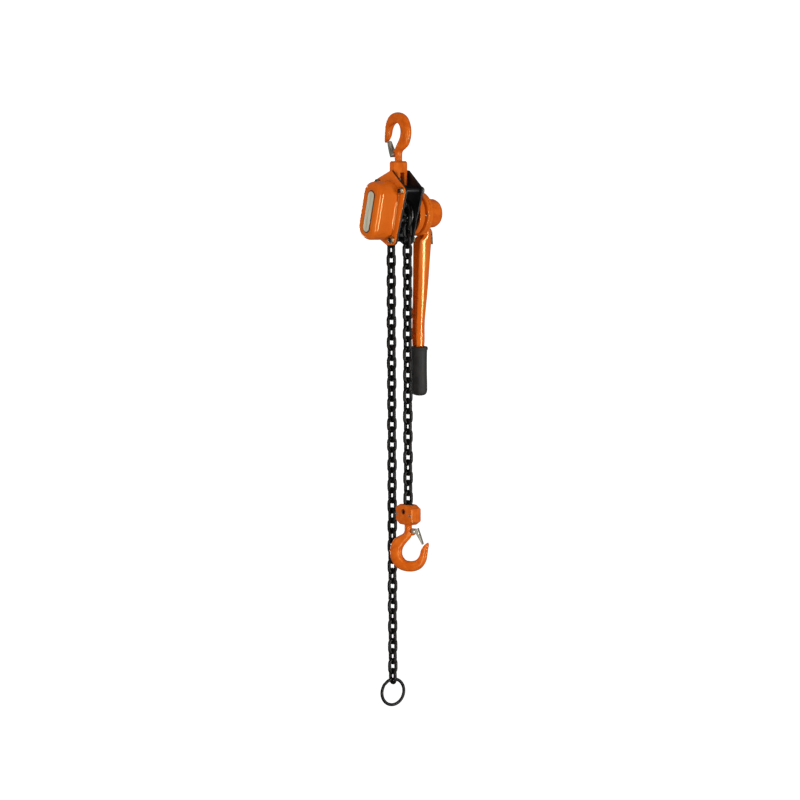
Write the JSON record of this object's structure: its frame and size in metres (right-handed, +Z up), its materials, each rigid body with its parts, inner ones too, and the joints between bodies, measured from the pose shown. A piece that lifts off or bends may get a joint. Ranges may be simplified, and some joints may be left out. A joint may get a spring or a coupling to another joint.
{
  "type": "lever chain hoist",
  "caption": "Hand-operated lever chain hoist: swivelling top hook, geared body with brake, hanging lever, load chain to a latched bottom hook, slack chain ending in a ring.",
  "frame": {"origin": "the seat of the top hook, where the hoist is hung from", "axes": "+Z up, along the hanging chains; +X along the drive axis from the gear cover to the lever and hand wheel; +Y towards the slack chain"},
  "size_m": [0.1738, 0.1347, 1.2243],
  "materials": {
    "orange_paint": "gloss orange paint over forged or pressed steel",
    "black_paint": "semi-gloss black paint on steel plate",
    "black_chain": "black-oxidised hardened chain steel, lightly oiled",
    "bright_zinc": "bright zinc plating",
    "grey_steel": "plain grey pressed steel",
    "gear_steel": "machined gear steel",
    "plate_alloy": "satin rolled aluminium",
    "brake_lining": "moulded friction lining",
    "grip_rubber": "moulded black rubber",
    "bearing_bronze": "turned bearing bronze"
  },
  "bodies": {
    "top_hook": {"top_hook": "orange_paint", "top_latch_pin": "grey_steel"},
    "top_latch": {"top_latch": "grey_steel"},
    "top_yoke": {"top_yoke_gear_half": "orange_paint", "top_yoke_lever_half": "orange_paint"},
    "hoist_body": {"gear_side_plate": "black_paint", "ratchet_side_plate": "black_paint", "top_pin": "grey_steel", "stay_bolt_front_top": "black_paint", "stay_bolt_front_bottom": "black_paint", "stay_bolt_back_top": "black_paint", "stay_bolt_back_bottom": "black_paint", "gear_nut_front_top": "bright_zinc", "gear_nut_front_bottom": "bright_zinc", "gear_nut_back_top": "bright_zinc", "gear_nut_back_bottom": "bright_zinc", "lever_nut_front_top": "bright_zinc", "lever_nut_front_bottom": "bright_zinc", "lever_nut_back_top": "bright_zinc", "lever_nut_back_bottom": "bright_zinc", "gear_side_bearing": "bearing_bronze", "ratchet_side_bearing": "bearing_bronze", "gear_cover": "orange_paint", "rating_plate": "plate_alloy", "chain_stripper": "grey_steel", "brake_cover": "orange_paint"},
    "load_sheave": {"load_sheave": "gear_steel", "sheave_links": "black_chain", "load_gear": "gear_steel"},
    "upper_disc_gear": {"upper_disc_gear": "gear_steel"},
    "lower_disc_gear": {"lower_disc_gear": "gear_steel"},
    "drive": {"drive_shaft": "gear_steel", "change_gear": "gear_steel", "free_wheel_spring": "grey_steel", "shaft_nut": "grey_steel", "hand_wheel": "orange_paint"},
    "ratchet": {"ratchet_disc": "gear_steel", "inner_friction_disc": "brake_lining", "outer_friction_disc": "brake_lining"},
    "brake_pawl_1": {"brake_pawl_1": "gear_steel"},
    "brake_pawl_2": {"brake_pawl_2": "gear_steel"},
    "lever": {"lever_arm": "orange_paint", "lever_head_cover": "orange_paint", "lever_grip": "grip_rubber"},
    "selector": {"selector_lever": "bright_zinc"},
    "change_pawl": {"change_pawl": "gear_steel"},
    "load_lead": {"load_lead_link": "black_chain"},
    "load_run": {"load_chain": "black_chain"},
    "bottom_yoke": {"bottom_yoke_gear_half": "orange_paint", "bottom_yoke_lever_half": "orange_paint", "chain_pin": "grey_steel", "yoke_screw_front": "grey_steel", "yoke_screw_back": "grey_steel"},
    "bottom_hook": {"bottom_hook": "orange_paint", "bottom_latch_pin": "grey_steel"},
    "bottom_latch": {"bottom_latch": "grey_steel"},
    "free_lead": {"free_lead_link": "black_chain"},
    "free_run": {"free_chain": "black_chain"},
    "end_ring": {"end_ring": "black_chain"}
  },
  "joints": [
    {"name": "top_latch_hinge", "type": "hinge", "parent": "top_hook", "child": "top_latch", "pos_m": [0, 0.0125, -0.062], "axis": [1, 0, 0], "range_deg": [0, 24], "stiffness_Nm_per_rad": 0.03, "springref_deg": -34.38},
    {"name": "top_swivel", "type": "hinge", "parent": "top_hook", "child": "top_yoke", "pos_m": [0, 0, -0.09], "axis": [0, 0, 1], "continuous": true},
    {"name": "hoist_swing", "type": "hinge", "parent": "top_yoke", "child": "hoist_body", "pos_m": [0, 0, -0.113], "axis": [1, 0, 0], "range_deg": [-20, 20]},
    {"name": "sheave_turn", "type": "hinge", "parent": "hoist_body", "child": "load_sheave", "pos_m": [0, 0, -0.183], "axis": [1, 0, 0], "range_deg": [-12, 2]},
    {"name": "upper_gear_turn", "type": "hinge", "parent": "hoist_body", "child": "upper_disc_gear", "pos_m": [0, -0.00722, -0.15698], "axis": [1, 0, 0], "range_deg": [-4.2, 24.2]},
    {"name": "lower_gear_turn", "type": "hinge", "parent": "hoist_body", "child": "lower_disc_gear", "pos_m": [0, 0.00722, -0.20902], "axis": [1, 0, 0], "range_deg": [-4.2, 24.2]},
    {"name": "drive_turn", "type": "hinge", "parent": "hoist_body", "child": "drive", "pos_m": [0, 0, -0.183], "axis": [1, 0, 0], "range_deg": [-48.2, 8.2]},
    {"name": "ratchet_turn", "type": "hinge", "parent": "hoist_body", "child": "ratchet", "pos_m": [0, 0, -0.183], "axis": [1, 0, 0], "continuous": true},
    {"name": "brake_pawl_1_hinge", "type": "hinge", "parent": "hoist_body", "child": "brake_pawl_1", "pos_m": [0, -0.00031, -0.1475], "axis": [1, 0, 0], "range_deg": [0, 10], "stiffness_Nm_per_rad": 0.02, "springref_deg": -28.65},
    {"name": "brake_pawl_2_hinge", "type": "hinge", "parent": "hoist_body", "child": "brake_pawl_2", "pos_m": [0, 0.00031, -0.2185], "axis": [1, 0, 0], "range_deg": [0, 10], "stiffness_Nm_per_rad": 0.02, "springref_deg": -28.65},
    {"name": "lever_turn", "type": "hinge", "parent": "hoist_body", "child": "lever", "pos_m": [0, 0, -0.183], "axis": [1, 0, 0], "continuous": true},
    {"name": "selector_turn", "type": "hinge", "parent": "lever", "child": "selector", "pos_m": [0.0705, 0, -0.2205], "axis": [1, 0, 0], "range_deg": [-16, 16]},
    {"name": "change_pawl_turn", "type": "hinge", "parent": "lever", "child": "change_pawl", "pos_m": [0.0463, 0, -0.2205], "axis": [1, 0, 0], "range_deg": [-8.2, 8.2]},
    {"name": "load_feed", "type": "slide", "parent": "hoist_body", "child": "load_lead", "axis": [0, 0, 1], "range_m": [-0.00096, 0.00564]},
    {"name": "load_swing", "type": "hinge", "parent": "load_lead", "child": "load_run", "pos_m": [0, -0.02875, -0.2085], "axis": [0, 1, 0], "range_deg": [-6, 6]},
    {"name": "bottom_yoke_hinge", "type": "hinge", "parent": "load_run", "child": "bottom_yoke", "pos_m": [0, -0.02875, -0.7874], "axis": [1, 0, 0], "range_deg": [-12, 12]},
    {"name": "bottom_swivel", "type": "hinge", "parent": "bottom_yoke", "child": "bottom_hook", "pos_m": [0, -0.02875, -0.8074], "axis": [0, 0, 1], "continuous": true},
    {"name": "bottom_latch_hinge", "type": "hinge", "parent": "bottom_hook", "child": "bottom_latch", "pos_m": [0.00752, -0.03873, -0.8279], "axis": [0.7986, 0.6018, 0], "range_deg": [0, 24], "stiffness_Nm_per_rad": 0.03, "springref_deg": -34.38},
    {"name": "free_feed", "type": "slide", "parent": "hoist_body", "child": "free_lead", "axis": [0, 0, 1], "range_m": [-0.00564, 0.00096]},
    {"name": "free_swing", "type": "hinge", "parent": "free_lead", "child": "free_run", "pos_m": [0, 0.0256, -0.204], "axis": [0, 1, 0], "range_deg": [-6, 6]},
    {"name": "end_ring_swing", "type": "hinge", "parent": "free_run", "child": "end_ring", "pos_m": [0, 0.0256, -1.1448], "axis": [0.9976, -0.0698, 0], "range_deg": [-40, 40]}
  ],
  "couplings": [
    {"joint": "upper_gear_turn", "follows": "sheave_turn", "ratio": -2},
    {"joint": "lower_gear_turn", "follows": "sheave_turn", "ratio": -2},
    {"joint": "drive_turn", "follows": "sheave_turn", "ratio": 4},
    {"joint": "load_feed", "follows": "sheave_turn", "m_per_rad": -0.02674},
    {"joint": "free_feed", "follows": "sheave_turn", "m_per_rad": 0.02674},
    {"joint": "change_pawl_turn", "follows": "selector_turn", "ratio": 0.5}
  ]
}
